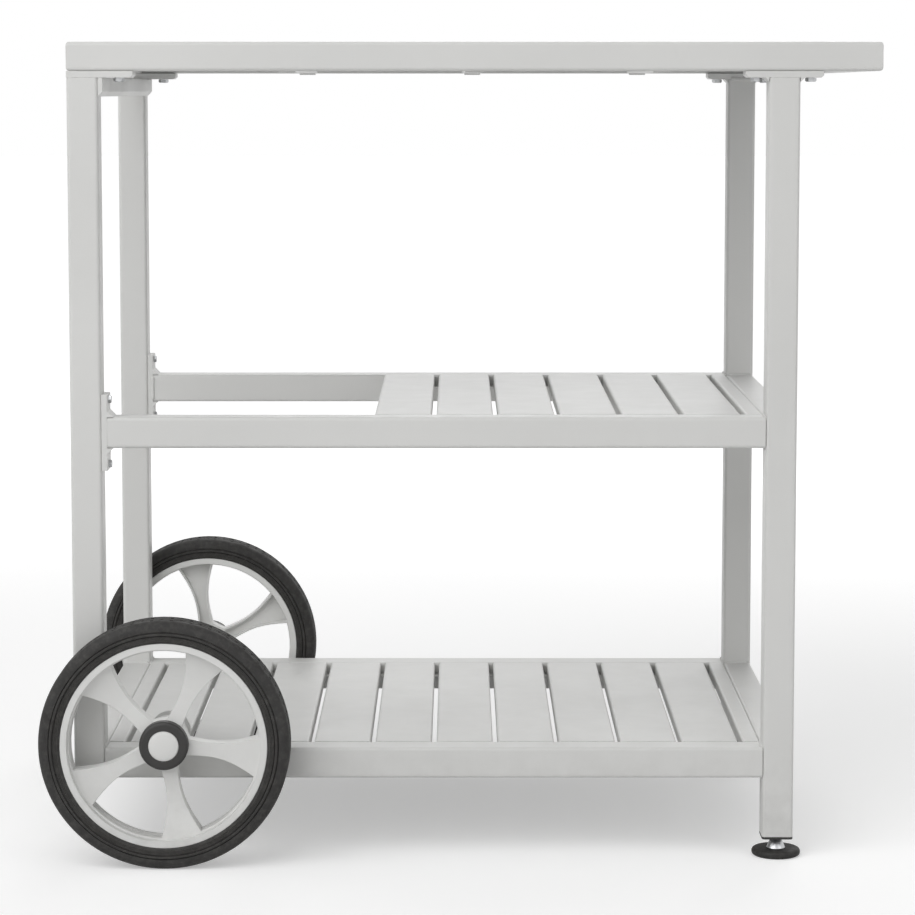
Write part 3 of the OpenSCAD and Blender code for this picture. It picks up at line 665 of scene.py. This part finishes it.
def leg_top_beads():
    """Beads along the inner faces of the legs' tops, under their flange plates."""
    beads = Beads()
    for side in SIDES:
        for end in ("left", "right"):
            low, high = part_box(f"{side}_{end}_leg")
            inner = inner_y(low, high)
            beads.straight((low.x + CORNER, inner, high.z), (high.x - CORNER, inner, high.z),
                           LEG_BEAD)
    beads.finish("leg_top_welds")


def tie_bar_beads():
    """Beads down the ends of the tie bar, against the left legs' inner faces."""
    beads = Beads()
    low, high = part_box("left_tie_bar")
    for side in SIDES:
        inner = inner_y(*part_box(f"{side}_left_leg"))
        beads.straight((low.x, inner, low.z + CORNER), (low.x, inner, high.z - CORNER))
    beads.finish("tie_bar_welds")


def cross_rail_beads():
    """Beads round the ends of the cross rails under the deck."""
    beads = Beads()
    for low, high in islands("top_cross_rails"):
        for y in (low.y, high.y):
            for x in (low.x, high.x):
                beads.straight((x, y, low.z + CORNER), (x, y, high.z - CORNER))
            beads.straight((low.x + CORNER, y, low.z), (high.x - CORNER, y, low.z))
    beads.finish("cross_rail_welds")


def ledge_stitches(node, count):
    """Short beads under each ledge, between its upright leg and the rail."""
    beads = Beads()
    for low, high in islands(node):
        y = low.y if low.y < 0 else high.y
        for i in range(count):
            middle = low.x + (high.x - low.x) * (i + 0.5) / count
            beads.straight((middle - STITCH / 2, y, low.z), (middle + STITCH / 2, y, low.z))
    beads.finish(f"{node}_welds")


def bracket_beads():
    """Beads along the feet of the axle brackets, on the lower rails."""
    beads = Beads()
    for low, high in islands("axle_brackets"):
        for x in (low.x, high.x):
            beads.straight((x, low.y + CORNER, low.z), (x, high.y - CORNER, low.z))
        inner = inner_y(low, high)
        beads.straight((low.x + CORNER, inner, low.z), (high.x - CORNER, inner, low.z))
    beads.finish("bracket_welds")


shelf_beads("lower", True)
shelf_beads("mid", False)
end_plate_beads()
leg_top_beads()
tie_bar_beads()
cross_rail_beads()
ledge_stitches("deck_ledges", 4)
ledge_stitches("mid_ledges", 5)
ledge_stitches("lower_ledges", 8)
bracket_beads()


# Bolts
BOLT_POINTS = 36
# A head's radius over its corners, and its height, as shares of the bolt's diameter
HEAD_CORNER = 0.87
HEAD_HEIGHT = 0.62


def hexagon(apothem, limit):
    """Radii of a hexagon with its corners cut to a circle, one for each direction."""
    radii = []
    for i in range(BOLT_POINTS):
        within = math.radians(360 * i / BOLT_POINTS % 60 - 30)
        radii.append(min(apothem / math.cos(within), limit))
    return radii


def bolt_rings(diameter, length):
    """Stations along a bolt's axis from its seat, with the radii there, from head to tip."""
    corner = HEAD_CORNER * diameter
    head = HEAD_HEIGHT * diameter
    apothem = corner * math.cos(math.radians(30))
    shank = diameter / 2
    washer = 0.05 * diameter
    return [(-head, [0.55 * apothem] * BOLT_POINTS),
            (-head + 0.01 * diameter, hexagon(apothem, 0.93 * apothem)),
            (-head + 0.10 * diameter, hexagon(apothem, 1.07 * apothem)),
            (-head + 0.17 * diameter, hexagon(apothem, corner)),
            (-washer, hexagon(apothem, corner)),
            (-washer, hexagon(apothem, 0.97 * apothem)),
            (0.0, hexagon(apothem, 0.97 * apothem)),
            (0.0, [shank] * BOLT_POINTS),
            (length - 0.1 * diameter, [shank] * BOLT_POINTS),
            (length, [shank * 0.85] * BOLT_POINTS)]


def make_bolts(node, diameter, axis, way=None):
    """Bolts with chamfered heads where a node has plain ones. They point up or down their axis,
    as way is 1 or -1, or away from the cart's middle if it is None."""
    vertices = []
    faces = []
    for low, high in islands(node):
        sign = way or (-1 if low[axis] < 0 else 1)
        middle = (low + high) / 2
        head_end = low[axis] if sign > 0 else high[axis]
        seat = head_end + sign * HEAD_HEIGHT * diameter
        length = high[axis] - low[axis] - HEAD_HEIGHT * diameter
        first = len(vertices)
        rings = bolt_rings(diameter, length)
        for station, radii in rings:
            for i, radius in enumerate(radii):
                a = 2 * math.pi * i / BOLT_POINTS
                place = [middle.x, middle.y, middle.z]
                place[axis] = seat + sign * station
                place[(axis + 1) % 3] += radius * math.cos(a)
                place[(axis + 2) % 3] += radius * math.sin(a)
                vertices.append(place)
        faces += capped_faces(len(rings), BOLT_POINTS, first)
    new_piece(node + "_chamfered", "frame", "plated_steel", vertices, faces, (node,), 20)


make_bolts("flange_bolts", 8 * MM, 2, 1)
make_bolts("end_plate_bolts", 6 * MM, 0, -1)
make_bolts("axle_bolts", 16 * MM, 1)


# Feet
STEM_RADIUS = 6 * MM
COLLAR_TOP_RADIUS = 7.5 * MM
COLLAR_TOP = 20 * MM
THREAD_PITCH = 1.75 * MM
THREAD_DEPTH = 0.95 * MM
TIP_LENGTH = 1.5 * MM
STEM_SIDES = 24
RINGS_PER_TURN = 6


def make_stem(side):
    """The foot's stem: a shank in the pad's socket, a conical collar and a thread above it."""
    node = side + "_foot_stem"
    low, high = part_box(node)
    pad_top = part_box(side + "_foot_pad")[1].z
    centre = (low + high) / 2
    collar = (high.x - low.x) / 2
    smooth = [(low.z, STEM_RADIUS), (pad_top, STEM_RADIUS), (pad_top, collar - 0.5 * MM),
              (pad_top + 0.5 * MM, collar), (pad_top + 1.5 * MM, collar - 0.5 * MM),
              (COLLAR_TOP - 0.6 * MM, COLLAR_TOP_RADIUS),
              (COLLAR_TOP, COLLAR_TOP_RADIUS - 0.6 * MM)]
    rings = [(z, [radius] * STEM_SIDES) for z, radius in smooth]
    count = int((high.z - COLLAR_TOP) / THREAD_PITCH * RINGS_PER_TURN)
    for i in range(count + 1):
        z = COLLAR_TOP + (high.z - COLLAR_TOP) * i / count
        tip = min(1.0, 0.75 + 0.25 * (high.z - z) / TIP_LENGTH)
        radii = []
        for s in range(STEM_SIDES):
            phase = ((z - COLLAR_TOP) / THREAD_PITCH - s / STEM_SIDES) % 1.0
            wave = max(0.0, abs(phase - 0.5) * 2.4 - 0.2)
            radii.append((STEM_RADIUS - THREAD_DEPTH * min(1.0, wave)) * tip)
        rings.append((z, radii))
    vertices = []
    for z, radii in rings:
        for s, radius in enumerate(radii):
            a = 2 * math.pi * s / STEM_SIDES
            vertices.append((centre.x + radius * math.cos(a), centre.y + radius * math.sin(a), z))
    faces = capped_faces(len(rings), STEM_SIDES)
    new_piece(node + "_threaded", side + "_foot", "plated_steel", vertices, faces, (node,), 30)


for foot_side in SIDES:
    make_stem(foot_side)
